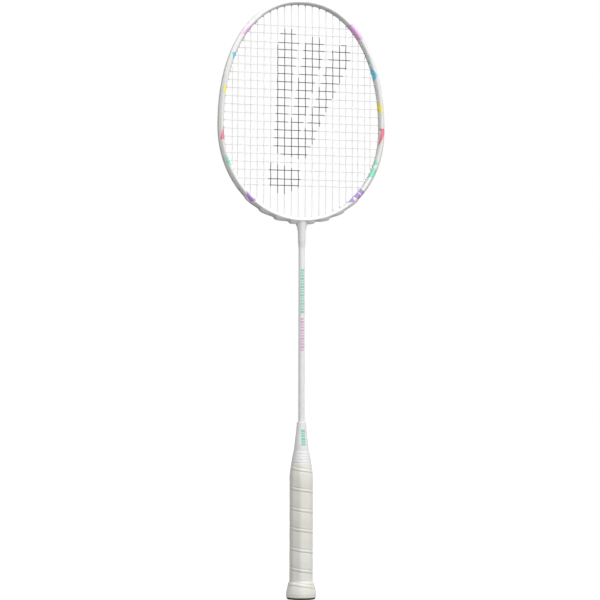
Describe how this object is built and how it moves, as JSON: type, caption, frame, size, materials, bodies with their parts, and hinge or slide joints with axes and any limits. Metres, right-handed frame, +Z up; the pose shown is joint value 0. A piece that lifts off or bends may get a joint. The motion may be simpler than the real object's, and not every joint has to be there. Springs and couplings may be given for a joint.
{
  "type": "badminton racket",
  "caption": "Badminton racket: strung oval hoop on a slim tube shaft, with a tapered cone and a spiral-wrapped octagonal grip.",
  "frame": {"origin": "centre of the butt end, on the flat face of the butt cap", "axes": "+Z up the shaft to the crown of the hoop, X across the string bed, Y square to the string bed"},
  "size_m": [0.1992, 0.0344, 0.6749],
  "materials": {
    "frame_lacquer": "gloss white lacquer over carbon composite",
    "shaft_lacquer": "gloss white lacquer over a carbon tube",
    "cone_lacquer": "satin white moulded plastic",
    "string": "braided nylon with a clear coat",
    "grommet": "white moulded nylon",
    "grip": "soft cream synthetic grip, spiral wrapped",
    "tape": "thin white finishing tape",
    "butt_cap": "black moulded plastic",
    "butt_disc": "plain mint disc",
    "core_wood": "bare light wood",
    "t_joint_metal": "plain cast",
    "staple": "zinc-plated wire"
  },
  "bodies": {
    "root": {"head_frame": "frame_lacquer", "t_joint": "t_joint_metal", "shaft": "shaft_lacquer", "main_string": "string", "cross_string": "string", "grommet_crown": "grommet", "grommet_shoulder_right": "grommet", "grommet_shoulder_left": "grommet", "grommet_upper_side_right": "grommet", "grommet_upper_side_left": "grommet", "grommet_lower_side_right": "grommet", "grommet_lower_side_left": "grommet", "grommet_hip_right": "grommet", "grommet_hip_left": "grommet", "grommet_throat_right": "grommet", "grommet_throat_left": "grommet", "handle_cone": "cone_lacquer", "handle_core": "core_wood", "grip_wrap": "grip", "finishing_tape": "tape", "butt_cap": "butt_cap", "butt_disc": "butt_disc", "cap_staple_front": "staple", "cap_staple_back": "staple"}
  },
  "joints": []
}
